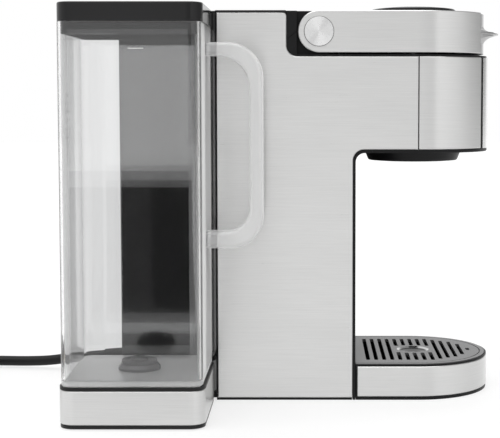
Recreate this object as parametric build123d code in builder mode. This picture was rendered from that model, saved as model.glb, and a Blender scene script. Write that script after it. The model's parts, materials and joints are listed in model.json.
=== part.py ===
"""Pod coffee machine with a side water reservoir, as separate named pieces.

The frame: origin on the counter under the middle of the whole machine, +Z up, the user's
side (front) towards -Y, and the water reservoir on the -X side. All sizes are millimetres.
"""

import os
from math import pi

from build123d import *

os.makedirs("parts", exist_ok=True)

# Body: a column with an overhanging head and a drip tray, which share one plan:
# straight sides and a half-round nose.
HALF_W = 61.0  # half the body's width, and the nose's radius
MID_X = 45.8  # the body's middle plane
LEFT_X = MID_X - HALF_W
RIGHT_X = MID_X + HALF_W
NOSE_Y = -97.7  # centre of the nose, and of all that is round about the pod
BODY_TOP = 305.0
COLUMN_FRONT_Y = -46.8
STEEL_REAR_Y = 59.2
BODY_REAR_Y = 135.5
HEAD_BOTTOM_Z = 197.3
HEAD_TOP_Z = 269.5
PANEL_BOTTOM_Z = 2.0
PANEL_TOP_Z = 303.4
SHEET = 1.0  # stainless skin
WALL = 2.4  # moulded wall
FOOT_GAP = 0.2  # the base plate stands this far above the counter

# Lid: hinged at the back of the head, and closed down on it.
PIVOT_Y = -20.3
PIVOT_Z = 288.8
LID_R = 16.2  # round rear ends of the lid's side arms
LID_BOTTOM_Z = PIVOT_Z - LID_R
LID_TOP_Z = PIVOT_Z + LID_R
RECESS_Y = 5.0  # the side panels are cut away in front of this for the lid's arms
ARM_W = 6.0
LID_REAR_Y = PIVOT_Y - 17.0
LIP_TIP_Y = -167.2
BAND_END_ANGLE = 33.0  # the lid's band stops this far each side of the nose's tip
HEAD_BAND_END_ANGLE = 31.6  # and the head's curved bands this far
FRONT_PANEL_ANGLE = 27.7  # half the front panel's width
TRIM_R = 57.2  # the lid's front strip stands in from its side bands
DISC_R = 34.3
DISC_TOP_Z = 311.5

# Drip tray.
TRAY_NOSE_Y = NOSE_Y - 0.8
TRAY_BACK_Y = -50.8
TRAY_SKIRT_Z = 2.8
TRAY_BAND_TOP_Z = 26.8
TRAY_RIM_Z = 28.2
GRILLE_TOP_Z = 28.8

# Reservoir: it stands beside the rear of the body, on a base that swings about a post.
RES_X0, RES_X1 = -107.6, -10.2
RES_Y0, RES_Y1 = 61.7, 167.2
RES_CORNER = 11.5
RES_SKIRT_Z = 3.4
RES_BAND_TOP_Z = 28.3
RES_DECK_Z = 30.8
TANK_INSET_Y = 1.7
TANK_INSET_X = 0.3
TANK_WALL = 2.4
TANK_FLOOR_Z = 35.4
TANK_TOP_Z = 290.9
TANK_LID_TOP_Z = 304.7
TANK_LID_SKIRT_Z = 282.0
VALVE_X, VALVE_Y = -61.2, 114.2
ALCOVE_X = -7.2  # outer face of the body's rear section, behind the reservoir
POST_X, POST_Y = -17.2, 145.3  # the swing's axis

RES_MID_X = (RES_X0 + RES_X1) / 2

EDGE_BREAK = 0.6  # chamfer on the outer edges of the steel
BOTTOM = (Align.CENTER, Align.CENTER, Align.MIN)


def write(builder, name):
    """Label a finished piece and write it to its own file."""
    builder.part.label = name
    export_step(builder.part, f"parts/{name}.step")


def nose_plan(z, inset, back_y, nose_y=NOSE_Y):
    """Plan of the head, lid or tray: straight sides and a half-round nose."""
    r = HALF_W - inset
    with BuildSketch(Plane.XY.offset(z)) as plan:
        with BuildLine():
            Polyline(
                (MID_X - r, nose_y), (MID_X - r, back_y), (MID_X + r, back_y), (MID_X + r, nose_y)
            )
            CenterArc((MID_X, nose_y), r, 0, -180)
        make_face()
    return plan.sketch


def nose_ring(z, inset, thick, back_y, nose_y=NOSE_Y):
    """Plan of a strip that runs round the nose plan, open at the back."""
    with BuildSketch(Plane.XY.offset(z)) as plan:
        add(nose_plan(0, inset, back_y, nose_y))
        add(nose_plan(0, inset + thick, back_y + 1, nose_y), mode=Mode.SUBTRACT)
    return plan.sketch


def outline_edges(builder, nose_y=NOSE_Y):
    """Edges of a piece that lie on the nose plan's outline, the upright ones left out."""

    def on_outline(edge):
        middle = edge @ 0.5
        from_nose = min(middle.Y - nose_y, 0)
        return abs(((middle.X - MID_X) ** 2 + from_nose**2) ** 0.5 - HALF_W) < 0.01

    return builder.edges().filter_by(on_outline).filter_by(Axis.Z, reverse=True)


def nose_sector(z, r_out, r_in, start, sweep):
    """Plan of a curved strip about the nose's centre, between two angles in degrees."""
    with BuildSketch(Plane.XY.offset(z)) as plan:
        with BuildLine():
            outer = CenterArc((MID_X, NOSE_Y), r_out, start, sweep)
            inner = CenterArc((MID_X, NOSE_Y), r_in, start, sweep)
            Line(outer @ 0, inner @ 0)
            Line(outer @ 1, inner @ 1)
        make_face()
    return plan.sketch


def box_plan(z, x0, x1, y0, y1, corner=0.0):
    """Plan of a rectangle, with round corners if a radius is given."""
    middle = ((x0 + x1) / 2, (y0 + y1) / 2)
    with BuildSketch(Plane.XY.offset(z)) as plan:
        with Locations(middle):
            if corner:
                RectangleRounded(x1 - x0, y1 - y0, corner)
            else:
                Rectangle(x1 - x0, y1 - y0)
    return plan.sketch


def reservoir_plan(z, inset_x, inset_y, corner):
    """Plan of a layer of the reservoir, set in from its base's outline."""
    return box_plan(
        z, RES_X0 + inset_x, RES_X1 - inset_x, RES_Y0 + inset_y, RES_Y1 - inset_y, corner
    )


def ring_profile(points, x, y):
    """Profile of a turned piece about a vertical axis through x, y: (radius, height) points."""
    with BuildSketch(Plane((x, y, 0), x_dir=(1, 0, 0), z_dir=(0, -1, 0))) as profile:
        with BuildLine():
            Polyline(*points, close=True)
        make_face()
    return profile.sketch


def vertical_axis(x, y):
    return Axis((x, y, 0), (0, 0, 1))


# ------------------------------------------------------------------ body: base and frame

foot_spots = [
    (LEFT_X + 16, COLUMN_FRONT_Y + 14),
    (RIGHT_X - 16, COLUMN_FRONT_Y + 14),
    (ALCOVE_X + 16, BODY_REAR_Y - 14),
    (RIGHT_X - 16, BODY_REAR_Y - 14),
]
FOOT_R = 8.0
FOOT_POCKET = 2.0
FLOOR_TOP_Z = 5.0
REAR_PLATE_Y = STEEL_REAR_Y + 1.2
PAN_EDGE = 0.6  # the plate's edge stands in from the skin by this much
TONGUE_Z0, TONGUE_Z1 = 9.0, 14.0
TONGUE_SPOTS = [MID_X - 40, MID_X + 40]
LUG_R = 8.0
LUG_REACH_Y = 124.0

with BuildPart() as base_plate:
    extrude(
        box_plan(
            FOOT_GAP, LEFT_X + PAN_EDGE, RIGHT_X - PAN_EDGE, COLUMN_FRONT_Y + 0.4, REAR_PLATE_Y - 0.4
        ),
        amount=PANEL_BOTTOM_Z - FOOT_GAP,
    )
    extrude(
        box_plan(
            FOOT_GAP,
            LEFT_X + 1.4,
            RIGHT_X - 1.4,
            COLUMN_FRONT_Y + 0.4,
            REAR_PLATE_Y - 0.4,
        ),
        amount=FLOOR_TOP_Z - FOOT_GAP,
    )
    extrude(
        box_plan(
            FOOT_GAP,
            ALCOVE_X + PAN_EDGE,
            RIGHT_X - PAN_EDGE,
            REAR_PLATE_Y - 0.6,
            BODY_REAR_Y - PAN_EDGE,
        ),
        amount=FLOOR_TOP_Z - FOOT_GAP,
    )
    # the lug that carries the reservoir's swing post
    with BuildSketch(Plane.XY.offset(FOOT_GAP)):
        with BuildLine():
            Polyline(
                (ALCOVE_X + 12, BODY_REAR_Y - PAN_EDGE),
                (ALCOVE_X + 12, LUG_REACH_Y),
                (ALCOVE_X + PAN_EDGE, LUG_REACH_Y + 2),
                (POST_X - 5.6, POST_Y - 5.6),
                (POST_X + 5.6, POST_Y + 5.6),
                close=True,
            )
        make_face()
        with Locations((POST_X, POST_Y)):
            Circle(LUG_R)
    extrude(amount=FLOOR_TOP_Z - FOOT_GAP)
    with Locations((POST_X, POST_Y, FOOT_GAP)):
        Cylinder(3.0, FLOOR_TOP_Z, align=BOTTOM, mode=Mode.SUBTRACT)
    with Locations([(x, y, FOOT_GAP) for x, y in foot_spots]):
        Cylinder(FOOT_R + 0.1, FOOT_POCKET, align=BOTTOM, mode=Mode.SUBTRACT)
write(base_plate, "base_plate")

with BuildPart() as base_feet:
    with Locations([(x, y, 0) for x, y in foot_spots]):
        Cylinder(FOOT_R, FOOT_GAP + FOOT_POCKET, align=BOTTOM)
    chamfer(base_feet.edges().group_by(Axis.Z)[0], 0.4)
write(base_feet, "base_feet")

with BuildPart() as swing_post:
    with BuildSketch(Plane.XY.offset(FOOT_GAP + 0.4)):
        with Locations((POST_X, POST_Y)):
            Circle(3.0)
    extrude(amount=23)
    with BuildSketch(Plane.XY.offset(FLOOR_TOP_Z)):
        with Locations((POST_X, POST_Y)):
            Circle(4.0)
    extrude(amount=0.8)
write(swing_post, "swing_post")

FRAME_X0, FRAME_X1 = LEFT_X + 1.4, RIGHT_X - 1.4
FRAME_Y0, FRAME_Y1 = COLUMN_FRONT_Y + 2.9, STEEL_REAR_Y - 0.3
DECK_Z = HEAD_TOP_Z - 0.8  # top of the frames; the deck plates lie on this
SHELF_Z = 104.0
UPPER_Y0 = RECESS_Y + 0.3

with BuildPart() as column_frame:
    extrude(box_plan(FLOOR_TOP_Z, FRAME_X0, FRAME_X1, FRAME_Y0, FRAME_Y1), amount=DECK_Z - FLOOR_TOP_Z)
    extrude(box_plan(DECK_Z, FRAME_X0, FRAME_X1, UPPER_Y0, FRAME_Y1), amount=PANEL_TOP_Z - DECK_Z - 0.2)
    extrude(
        box_plan(FLOOR_TOP_Z, FRAME_X0 + WALL, FRAME_X1 - WALL, FRAME_Y0 + WALL, FRAME_Y1 - WALL),
        amount=DECK_Z - FLOOR_TOP_Z,
        mode=Mode.SUBTRACT,
    )
    extrude(
        box_plan(DECK_Z - 20, FRAME_X0 + WALL, FRAME_X1 - WALL, UPPER_Y0 + WALL, FRAME_Y1 - WALL),
        amount=PANEL_TOP_Z,
        mode=Mode.SUBTRACT,
    )
    # the shelf that the heater stands on, open at the front for the hoses
    extrude(
        box_plan(SHELF_Z, FRAME_X0 + WALL, FRAME_X1 - WALL, FRAME_Y0 + 26, FRAME_Y1 - WALL),
        amount=WALL,
    )
    # ways through for the tray's tongues, the hot hose and the pump's hose
    for tongue_x in TONGUE_SPOTS:
        with Locations((tongue_x, FRAME_Y0, (TONGUE_Z0 + TONGUE_Z1) / 2)):
            Box(14, 12, TONGUE_Z1 - TONGUE_Z0 + 3, mode=Mode.SUBTRACT)
    with Locations((MID_X, FRAME_Y0, 236)):
        Box(60, 12, 40, mode=Mode.SUBTRACT)
    with Locations((MID_X + 20, FRAME_Y1, 50)):
        Box(30, 12, 40, mode=Mode.SUBTRACT)
write(column_frame, "column_frame")


def side_panel(x):
    """Steel side of the column and head, with the lid's recess cut from its top front corner."""
    seam_y = NOSE_Y + 0.1
    with BuildPart() as panel:
        with BuildSketch(Plane.YZ.offset(x)) as side:
            with BuildLine():
                Polyline(
                    (STEEL_REAR_Y, PANEL_BOTTOM_Z),
                    (STEEL_REAR_Y, PANEL_TOP_Z),
                    (RECESS_Y, PANEL_TOP_Z),
                    (RECESS_Y, HEAD_TOP_Z),
                    (seam_y, HEAD_TOP_Z),
                    (seam_y, HEAD_BOTTOM_Z),
                    (COLUMN_FRONT_Y, HEAD_BOTTOM_Z),
                    (COLUMN_FRONT_Y, PANEL_BOTTOM_Z),
                    close=True,
                )
            make_face()
            fillet(side.vertices().sort_by_distance((RECESS_Y, PANEL_TOP_Z))[0], 3.0)
            fillet(side.vertices().sort_by_distance((RECESS_Y, HEAD_TOP_Z))[0], 8.5)
            fillet(side.vertices().sort_by_distance((COLUMN_FRONT_Y, HEAD_BOTTOM_Z))[0], 8.5)
        extrude(amount=SHEET)
        outer_face = panel.faces().sort_by(Axis.X)[0 if x < MID_X else -1]
        chamfer(outer_face.edges(), EDGE_BREAK)
    return panel


left_side_panel = side_panel(LEFT_X)
write(left_side_panel, "left_side_panel")
right_side_panel = side_panel(RIGHT_X - SHEET)
write(right_side_panel, "right_side_panel")

COVER_FACE_Y = COLUMN_FRONT_Y - 2.1
COVER_BOTTOM_Z = HEAD_BOTTOM_Z - 2.7
COVER_JOIN_Y = -62.0

with BuildPart() as column_front_cover:
    with BuildSketch(Plane.YZ.offset(LEFT_X + 0.4)) as cover_side:
        with BuildLine():
            Polyline(
                (COVER_FACE_Y, FOOT_GAP),
                (COVER_FACE_Y, COVER_BOTTOM_Z),
                (COVER_JOIN_Y, COVER_BOTTOM_Z),
                (COVER_JOIN_Y, HEAD_BOTTOM_Z - 0.05),
                (COLUMN_FRONT_Y - 0.05, HEAD_BOTTOM_Z - 0.05),
                (COLUMN_FRONT_Y - 0.05, FOOT_GAP),
                close=True,
            )
        make_face()
        fillet(cover_side.vertices().sort_by_distance((COVER_FACE_Y, COVER_BOTTOM_Z))[0], 7.0)
        fillet(cover_side.vertices().sort_by_distance((COLUMN_FRONT_Y, HEAD_BOTTOM_Z))[0], 8.5)
    extrude(amount=2 * HALF_W - 0.8)
    # the part that stands in between the steel sides
    extrude(
        box_plan(FLOOR_TOP_Z + 0.2, FRAME_X0, FRAME_X1, COLUMN_FRONT_Y - 0.3, FRAME_Y0 - 0.1),
        amount=HEAD_BOTTOM_Z - FLOOR_TOP_Z - 10,
    )
    for tongue_x in TONGUE_SPOTS:
        with Locations((tongue_x, COLUMN_FRONT_Y, (TONGUE_Z0 + TONGUE_Z1) / 2)):
            Box(12, 12, TONGUE_Z1 - TONGUE_Z0 + 2, mode=Mode.SUBTRACT)
write(column_front_cover, "column_front_cover")

# ------------------------------------------------------------------ body: rear section and top

REAR_WALL_X0 = ALCOVE_X
COVER_THICK = 3.0
REAR_OPEN_Y = BODY_REAR_Y - COVER_THICK

with BuildPart() as rear_housing:
    # the frame that closes the gap behind the steel sides, and the deeper box behind it
    extrude(
        box_plan(FLOOR_TOP_Z, LEFT_X + 0.2, RIGHT_X - 0.2, STEEL_REAR_Y, REAR_PLATE_Y),
        amount=PANEL_TOP_Z - FLOOR_TOP_Z - 0.1,
    )
    extrude(
        box_plan(FLOOR_TOP_Z, REAR_WALL_X0, RIGHT_X - 0.2, REAR_PLATE_Y - 0.5, REAR_OPEN_Y),
        amount=PANEL_TOP_Z - FLOOR_TOP_Z - 0.1,
    )
    extrude(
        box_plan(FLOOR_TOP_Z, REAR_WALL_X0 + WALL, RIGHT_X - 0.2 - WALL, REAR_PLATE_Y, REAR_OPEN_Y + 1),
        amount=PANEL_TOP_Z - FLOOR_TOP_Z,
        mode=Mode.SUBTRACT,
    )
    # ways through for the wiring
    with Locations([(MID_X, STEEL_REAR_Y, 50), (MID_X, STEEL_REAR_Y, 200)]):
        Box(60, 12, 40, mode=Mode.SUBTRACT)
write(rear_housing, "rear_housing")

VENT_ROWS = 9
VENT_PITCH = 7.0
CORD_X, CORD_Z = 96.0, 14.0
screw_spots = [
    (REAR_WALL_X0 + 9, 14),
    (RIGHT_X - 9, 40),
    (REAR_WALL_X0 + 9, 290),
    (RIGHT_X - 9, 290),
]

with BuildPart() as rear_cover:
    with BuildSketch(Plane.XZ.offset(-REAR_OPEN_Y)):
        with Locations(((REAR_WALL_X0 + RIGHT_X - 0.2) / 2, (FLOOR_TOP_Z + PANEL_TOP_Z - 0.1) / 2)):
            RectangleRounded(
                RIGHT_X - 0.2 - REAR_WALL_X0, PANEL_TOP_Z - 0.1 - FLOOR_TOP_Z, 2.0
            )
    extrude(amount=-COVER_THICK)
    fillet(rear_cover.faces().sort_by(Axis.Y)[-1].edges(), 1.2)
    # air slots, the cord's gland and the screws' counterbores
    with BuildSketch(Plane.XZ.offset(-BODY_REAR_Y)):
        with Locations((MID_X + 4, 212)):
            with GridLocations(34, VENT_PITCH, 2, VENT_ROWS):
                SlotOverall(28, 2.6)
        with Locations((MID_X + 4, 84)):
            with GridLocations(34, VENT_PITCH, 2, 5):
                SlotOverall(28, 2.6)
        with Locations((CORD_X, CORD_Z)):
            Circle(6.6)
        with Locations(*screw_spots):
            Circle(1.7)
    extrude(amount=20, both=True, mode=Mode.SUBTRACT)
    with BuildSketch(Plane.XZ.offset(-BODY_REAR_Y)):
        with Locations(*screw_spots):
            Circle(3.3)
    extrude(amount=1.8, mode=Mode.SUBTRACT)
write(rear_cover, "rear_cover")

with BuildPart() as cover_screws:
    for screw_x, screw_z in screw_spots:
        with BuildSketch(Plane((screw_x, BODY_REAR_Y - 1.8, screw_z), x_dir=(1, 0, 0), z_dir=(0, 1, 0))):
            Circle(2.9)
        extrude(amount=1.5)
        with BuildSketch(Plane((screw_x, BODY_REAR_Y - 1.8, screw_z), x_dir=(1, 0, 0), z_dir=(0, 1, 0))):
            Circle(1.5)
        extrude(amount=-7.0)
        with BuildSketch(Plane((screw_x, BODY_REAR_Y, screw_z), x_dir=(1, 0, 0), z_dir=(0, 1, 0))):
            Rectangle(3.6, 0.8)
            Rectangle(0.8, 3.6)
        extrude(amount=1.2, both=True, mode=Mode.SUBTRACT)
write(cover_screws, "cover_screws")

with BuildPart() as top_panel:
    extrude(box_plan(PANEL_TOP_Z, LEFT_X, RIGHT_X, RECESS_Y, REAR_PLATE_Y), amount=BODY_TOP - PANEL_TOP_Z)
    extrude(
        box_plan(PANEL_TOP_Z, REAR_WALL_X0, RIGHT_X, REAR_PLATE_Y - 0.5, BODY_REAR_Y),
        amount=BODY_TOP - PANEL_TOP_Z,
    )
    fillet(top_panel.edges().filter_by(Axis.Z), 2.0)
    chamfer(top_panel.faces().sort_by(Axis.Z)[-1].edges(), 0.5)
    # the lip that drops inside the rear section
    extrude(
        box_plan(PANEL_TOP_Z - 4, REAR_WALL_X0 + WALL + 0.3, RIGHT_X - WALL - 0.6, 70, REAR_OPEN_Y - 0.5),
        amount=4,
    )
    extrude(
        box_plan(PANEL_TOP_Z - 4, REAR_WALL_X0 + WALL + 2.5, RIGHT_X - WALL - 2.8, 72.2, REAR_OPEN_Y - 2.7),
        amount=4,
        mode=Mode.SUBTRACT,
    )
write(top_panel, "top_panel")

KNUCKLE_R = 15.5
KNUCKLE_X0, KNUCKLE_X1 = LEFT_X + 1.4 + ARM_W + 0.8, RIGHT_X - 1.4 - ARM_W - 0.8
PIN_R = 4.0
PIN_BORE = PIN_R + 0.06
PIN_DEPTH = 12.0
BLOCK_TOP_Z = BODY_TOP - 0.2

with BuildPart() as hinge_block:
    # deck plate over the frame, dark in the gap under the lid
    extrude(box_plan(DECK_Z, FRAME_X0, FRAME_X1, FRAME_Y0 - 0.3, RECESS_Y), amount=2.4)
    # the round knuckle that the lid's arms straddle, and the block behind it
    with BuildSketch(Plane.YZ.offset(KNUCKLE_X0)):
        with Locations((PIVOT_Y, PIVOT_Z)):
            Circle(KNUCKLE_R)
        with BuildLine():
            Polyline(
                (PIVOT_Y - 2, BLOCK_TOP_Z),
                (RECESS_Y, BLOCK_TOP_Z),
                (RECESS_Y, DECK_Z + 1),
                (PIVOT_Y - 8, DECK_Z + 1),
                (PIVOT_Y - 8, PIVOT_Z),
                (PIVOT_Y - 2, PIVOT_Z),
                close=True,
            )
        make_face()
    extrude(amount=KNUCKLE_X1 - KNUCKLE_X0)
    # wings that close the recess behind the arms' round ends
    wing_w = KNUCKLE_X0 - LEFT_X - 1.1
    for wing_x, line_x in ((LEFT_X + 1.2, LEFT_X + 1.2), (KNUCKLE_X1 - 0.1, KNUCKLE_X1 - 0.7 + wing_w)):
        with BuildSketch(Plane.YZ.offset(wing_x)):
            with BuildLine():
                Polyline(
                    (PIVOT_Y + LID_R + 1.0, DECK_Z + 1),
                    (PIVOT_Y + LID_R + 1.0, BLOCK_TOP_Z - 0.2),
                    (RECESS_Y, BLOCK_TOP_Z - 0.2),
                    (RECESS_Y, DECK_Z + 1),
                    close=True,
                )
            make_face()
        extrude(amount=wing_w)
        # a fine slanting joint line across the wing
        with BuildSketch(Plane.YZ.offset(line_x)):
            with Locations(Location((PIVOT_Y + 20.2, PIVOT_Z - 2.3), -38)):
                Rectangle(12, 0.5)
        extrude(amount=0.6, mode=Mode.SUBTRACT)
    for bore_x in (KNUCKLE_X0, KNUCKLE_X1 - PIN_DEPTH):
        with BuildSketch(Plane.YZ.offset(bore_x)):
            with Locations((PIVOT_Y, PIVOT_Z)):
                Circle(PIN_BORE)
        extrude(amount=PIN_DEPTH, mode=Mode.SUBTRACT)
write(hinge_block, "hinge_block")

# ------------------------------------------------------------------ body: head

HEAD_BACK_Y = FRAME_Y0 - 0.4
HEAD_SHELL_INSET = SHEET + 0.15
HOLDER_FLANGE_R = 33.0
HOLDER_R = 26.5
SHROUD_R = 39.4

with BuildPart() as head_frame:
    extrude(
        nose_plan(HEAD_BOTTOM_Z + 0.1, HEAD_SHELL_INSET, HEAD_BACK_Y),
        amount=DECK_Z + 2.4 - HEAD_BOTTOM_Z - 0.1,
    )
    extrude(
        nose_plan(HEAD_BOTTOM_Z + WALL, HEAD_SHELL_INSET + WALL, HEAD_BACK_Y - WALL),
        amount=DECK_Z - HEAD_BOTTOM_Z - WALL,
        mode=Mode.SUBTRACT,
    )
    with Locations((MID_X, NOSE_Y, DECK_Z + 0.6)):
        Cylinder(HOLDER_FLANGE_R + 0.2, 5, align=BOTTOM, mode=Mode.SUBTRACT)
    with Locations((MID_X, NOSE_Y, DECK_Z - 5)):
        Cylinder(HOLDER_R + 0.5, 15, align=BOTTOM, mode=Mode.SUBTRACT)
    with Locations((MID_X, NOSE_Y, HEAD_BOTTOM_Z - 1)):
        Cylinder(11.5, 6, align=BOTTOM, mode=Mode.SUBTRACT)
    with Locations((MID_X, HEAD_BACK_Y, 236)):
        Box(60, 12, 40, mode=Mode.SUBTRACT)
write(head_frame, "head_frame")

SEAM_ANGLE = 0.4  # width of the gap between a side panel and its curved band, degrees
HEAD_BAND_H = HEAD_TOP_Z - HEAD_BOTTOM_Z
side_sweep = 90 - HEAD_BAND_END_ANGLE - SEAM_ANGLE


def head_band(start):
    """One of the two curved steel strips between a side panel and the front panel."""
    with BuildPart() as band:
        extrude(nose_sector(HEAD_BOTTOM_Z, HALF_W, HALF_W - SHEET, start, side_sweep), amount=HEAD_BAND_H)
        chamfer(outline_edges(band), EDGE_BREAK)
    return band


head_band_left = head_band(180 + SEAM_ANGLE)
write(head_band_left, "head_band_left")
head_band_right = head_band(270 + HEAD_BAND_END_ANGLE)
write(head_band_right, "head_band_right")

with BuildPart() as head_front_panel:
    panel_start = 270 - FRONT_PANEL_ANGLE
    extrude(
        nose_sector(HEAD_BOTTOM_Z, HALF_W + 0.2, HALF_W - SHEET, panel_start, 2 * FRONT_PANEL_ANGLE),
        amount=HEAD_BAND_H,
    )
write(head_front_panel, "head_front_panel")

with BuildPart() as head_underside_cover:
    extrude(
        nose_plan(COVER_BOTTOM_Z, 0.4, COVER_JOIN_Y - 0.1), amount=HEAD_BOTTOM_Z - COVER_BOTTOM_Z - 0.05
    )
    chamfer(head_underside_cover.faces().sort_by(Axis.Z)[0].edges(), 0.5)
    with Locations((MID_X, NOSE_Y, COVER_BOTTOM_Z - 1)):
        Cylinder(11.5, 6, align=BOTTOM, mode=Mode.SUBTRACT)
write(head_underside_cover, "head_underside_cover")

with BuildPart() as outlet_shroud:
    shroud_top = COVER_BOTTOM_Z - 0.05
    revolve(
        ring_profile(
            [
                (11.5, shroud_top),
                (SHROUD_R, shroud_top),
                (SHROUD_R - 2.6, 187.9),
                (SHROUD_R - 3.4, 187.0),
                (30.0, 186.5),
                (19.0, 186.2),
                (17.5, 187.0),
                (14.0, 190.0),
                (11.5, 190.6),
            ],
            MID_X,
            NOSE_Y,
        ),
        axis=vertical_axis(MID_X, NOSE_Y),
    )
write(outlet_shroud, "outlet_shroud")

with BuildPart() as coffee_outlet:
    revolve(
        ring_profile(
            [
                (4.5, 187.4),
                (7.5, 187.4),
                (9.5, 193.0),
                (10.8, 199.9),
                (16.0, 199.9),
                (16.0, 202.0),
                (18.5, 216.0),
                (16.7, 216.0),
                (14.0, 203.5),
                (6.5, 199.0),
            ],
            MID_X,
            NOSE_Y,
        ),
        axis=vertical_axis(MID_X, NOSE_Y),
    )
write(coffee_outlet, "coffee_outlet")

HOLDER_TOP_Z = DECK_Z + 2.4
HOLDER_FLOOR_Z = 222.0

with BuildPart() as pod_holder:
    revolve(
        ring_profile(
            [
                (2.6, HOLDER_FLOOR_Z - 5),
                (8.0, HOLDER_FLOOR_Z - 5),
                (8.0, HOLDER_FLOOR_Z),
                (23.2, HOLDER_FLOOR_Z),
                (HOLDER_R, DECK_Z + 0.6),
                (HOLDER_FLANGE_R, DECK_Z + 0.6),
                (HOLDER_FLANGE_R, HOLDER_TOP_Z),
                (24.8, HOLDER_TOP_Z),
                (21.6, HOLDER_FLOOR_Z + 2),
                (2.6, HOLDER_FLOOR_Z + 2),
            ],
            MID_X,
            NOSE_Y,
        ),
        axis=vertical_axis(MID_X, NOSE_Y),
    )
write(pod_holder, "pod_holder")

with BuildPart() as exit_needle:
    revolve(
        ring_profile(
            [
                (0.9, HOLDER_FLOOR_Z - 6),
                (2.6, HOLDER_FLOOR_Z - 6),
                (2.6, HOLDER_FLOOR_Z + 2),
                (1.7, HOLDER_FLOOR_Z + 3),
                (1.7, HOLDER_FLOOR_Z + 9),
                (0.9, HOLDER_FLOOR_Z + 13),
            ],
            MID_X,
            NOSE_Y,
        ),
        axis=vertical_axis(MID_X, NOSE_Y),
    )
write(exit_needle, "exit_needle")

# ------------------------------------------------------------------ body: water and electrics

HEATER_X, HEATER_Y, HEATER_R, HEATER_H = MID_X, 10.0, 37.0, 92.0
HEATER_Z = SHELF_Z + WALL
heater_ports = [(HEATER_X - 20.8, HEATER_Y - 8), (HEATER_X + 16, HEATER_Y - 8)]

with BuildPart() as heater_tank:
    with Locations((HEATER_X, HEATER_Y, HEATER_Z)):
        Cylinder(HEATER_R, HEATER_H, align=BOTTOM)
    fillet(heater_tank.edges().filter_by(GeomType.CIRCLE), 7.0)
    with Locations([(x, y, HEATER_Z + HEATER_H) for x, y in heater_ports]):
        Cylinder(6.0, 4, align=BOTTOM)
        Cylinder(3.8, 12, align=BOTTOM)
write(heater_tank, "heater_tank")

PUMP_X, PUMP_Y, PUMP_Z = 18.0, -8.0, 32.0

with BuildPart() as pump:
    with Locations((PUMP_X, PUMP_Y, PUMP_Z)):
        Cylinder(15.0, 44, rotation=(90, 0, 0))
    fillet(pump.edges().filter_by(GeomType.CIRCLE), 1.5)
    with Locations((PUMP_X, PUMP_Y, FLOOR_TOP_Z)):
        Box(24, 34, PUMP_Z - FLOOR_TOP_Z - 13, align=BOTTOM)
    with Locations((PUMP_X, PUMP_Y + 31, PUMP_Z)):
        Cylinder(17.0, 18, rotation=(90, 0, 0))
    with Locations((PUMP_X + 7, PUMP_Y + 31, PUMP_Z + 14)):
        Cylinder(3.8, 16, align=BOTTOM)
write(pump, "pump")


def hose(points, radii, bore=2.4, outer=3.7):
    """Silicone hose along straight runs joined by arcs."""
    with BuildPart() as tube:
        with BuildLine() as route:
            FilletPolyline(*points, radius=radii)
        with BuildSketch(Plane(origin=route.wire() @ 0, z_dir=route.wire() % 0)):
            Circle(outer)
            Circle(bore, mode=Mode.SUBTRACT)
        sweep(path=route.wire())
    return tube


pump_top_z = PUMP_Z + 16 + 14.1
heater_top_z = HEATER_Z + HEATER_H + 12.1
feed_hose = hose(
    [
        (PUMP_X + 7, PUMP_Y + 31, pump_top_z),
        (PUMP_X + 7, PUMP_Y + 31, pump_top_z + 20),
        (PUMP_X + 7, FRAME_Y0 + 12, pump_top_z + 20),
        (PUMP_X + 7, FRAME_Y0 + 12, heater_top_z + 16),
        (PUMP_X + 7, heater_ports[0][1], heater_top_z + 16),
        (PUMP_X + 7, heater_ports[0][1], heater_top_z),
    ],
    9,
)
write(feed_hose, "feed_hose")
hot_hose = hose(
    [
        (heater_ports[1][0], heater_ports[1][1], heater_top_z),
        (heater_ports[1][0], heater_ports[1][1], 238),
        (heater_ports[1][0], NOSE_Y + 44, 238),
        (heater_ports[1][0], NOSE_Y + 44, 262),
    ],
    11,
)
write(hot_hose, "hot_hose")

with BuildPart() as control_board:
    with Locations((MID_X, 74, 200)):
        Box(86, 1.6, 110)
    with Locations((MID_X - 18, 76.4, 220)):
        Box(16, 3.2, 16)
    with Locations((MID_X + 16, 77.8, 176)):
        Box(30, 6, 12)
    with Locations((MID_X + 20, 76.8, 226)):
        Box(8, 4, 20)
    with Locations((MID_X, 70.0, 200)):
        with GridLocations(70, 0, 2, 1):
            Box(6, 6.4, 6)
write(control_board, "control_board")

# ------------------------------------------------------------------ lid


def lid_side(x, shrink):
    """Side view of the lid: round behind, running past the nose in front."""
    r = LID_R - shrink
    beyond = LIP_TIP_Y - 10
    with BuildSketch(Plane.YZ.offset(x)) as side:
        with BuildLine():
            Polyline(
                (PIVOT_Y, PIVOT_Z - r), (beyond, PIVOT_Z - r), (beyond, PIVOT_Z + r), (PIVOT_Y, PIVOT_Z + r)
            )
            CenterArc((PIVOT_Y, PIVOT_Z), r, 90, -180)
        make_face()
    return side.sketch


CAP_R = 11.3

with BuildPart() as lid_band:
    extrude(nose_ring(LID_BOTTOM_Z - 1, 0, SHEET, PIVOT_Y + LID_R + 1), amount=2 * LID_R + 2)
    extrude(
        nose_sector(LID_BOTTOM_Z - 2, HALF_W + 5, HALF_W - 5, 270 - BAND_END_ANGLE, 2 * BAND_END_ANGLE),
        amount=2 * LID_R + 4,
        mode=Mode.SUBTRACT,
    )
    extrude(lid_side(LEFT_X - 1, 0), amount=2 * HALF_W + 2, mode=Mode.INTERSECT)
    chamfer(outline_edges(lid_band), EDGE_BREAK)
    with BuildSketch(Plane.YZ.offset(LEFT_X - 1)):
        with Locations((PIVOT_Y, PIVOT_Z)):
            Circle(CAP_R + 0.35)
    extrude(amount=2 * HALF_W + 2, mode=Mode.SUBTRACT)
write(lid_band, "lid_band")

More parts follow.
